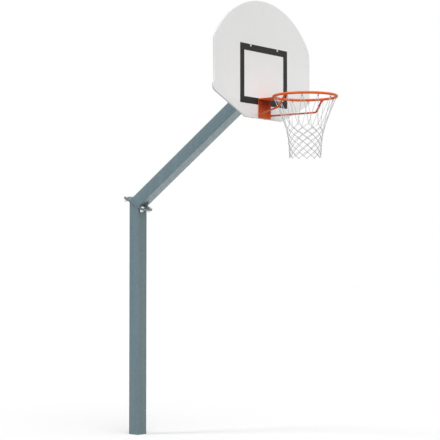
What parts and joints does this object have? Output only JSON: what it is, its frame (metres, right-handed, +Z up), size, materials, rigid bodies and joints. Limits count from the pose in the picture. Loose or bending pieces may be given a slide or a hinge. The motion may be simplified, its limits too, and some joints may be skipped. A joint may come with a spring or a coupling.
{
  "type": "in-ground basketball hoop",
  "caption": "Outdoor basketball hoop for setting in concrete: square galvanised post, boom bolted on a mitred flange, half-moon board, braced ring and cord net.",
  "frame": {"origin": "on the post's axis at the ground line, where the finished floor meets the post", "axes": "+Z up along the post; -Y towards the play side, where board and ring are; +X to the right of a player who faces the board"},
  "size_m": [1.2238, 2.0824, 3.896],
  "materials": {
    "galvanised_steel": "hot-dip galvanised, dull and slightly mottled",
    "bright_zinc": "bright zinc plated",
    "orange_paint": "satin powder coat",
    "white_gel_coat": "smooth gel coat on glass-fibre laminate",
    "black_marking": "printed or painted line",
    "white_cord": "twisted cord, knotted"
  },
  "bodies": {
    "root": {"anchor_bar_lower": "galvanised_steel", "anchor_bar_upper": "galvanised_steel", "backboard": "white_gel_coat", "board_bolt_left": "bright_zinc", "board_bolt_right": "bright_zinc", "board_bracket": "galvanised_steel", "board_crossbar": "galvanised_steel", "board_nut_left": "bright_zinc", "board_nut_right": "bright_zinc", "board_washer_left": "bright_zinc", "board_washer_right": "bright_zinc", "boom_flange": "galvanised_steel", "boom_tube": "galvanised_steel", "flange_bolt_1": "bright_zinc", "flange_bolt_2": "bright_zinc", "flange_bolt_3": "bright_zinc", "flange_bolt_4": "bright_zinc", "flange_nut_1": "bright_zinc", "flange_nut_2": "bright_zinc", "flange_nut_3": "bright_zinc", "flange_nut_4": "bright_zinc", "flange_washer_1": "bright_zinc", "flange_washer_2": "bright_zinc", "flange_washer_3": "bright_zinc", "flange_washer_4": "bright_zinc", "joint_gusset": "galvanised_steel", "net": "white_cord", "net_hook_01": "orange_paint", "net_hook_02": "orange_paint", "net_hook_03": "orange_paint", "net_hook_04": "orange_paint", "net_hook_05": "orange_paint", "net_hook_06": "orange_paint", "net_hook_07": "orange_paint", "net_hook_08": "orange_paint", "net_hook_09": "orange_paint", "net_hook_10": "orange_paint", "net_hook_11": "orange_paint", "net_hook_12": "orange_paint", "post_flange": "galvanised_steel", "post_tube": "galvanised_steel", "ring_bar": "orange_paint", "ring_bolt_1": "orange_paint", "ring_bolt_2": "orange_paint", "ring_bolt_3": "orange_paint", "ring_bolt_4": "orange_paint", "ring_brace_left": "orange_paint", "ring_brace_right": "orange_paint", "ring_nut_1": "bright_zinc", "ring_nut_2": "bright_zinc", "ring_nut_3": "bright_zinc", "ring_nut_4": "bright_zinc", "ring_plate": "orange_paint", "ring_washer_1": "bright_zinc", "ring_washer_2": "bright_zinc", "ring_washer_3": "bright_zinc", "ring_washer_4": "bright_zinc", "target_marking": "black_marking"}
  },
  "joints": []
}
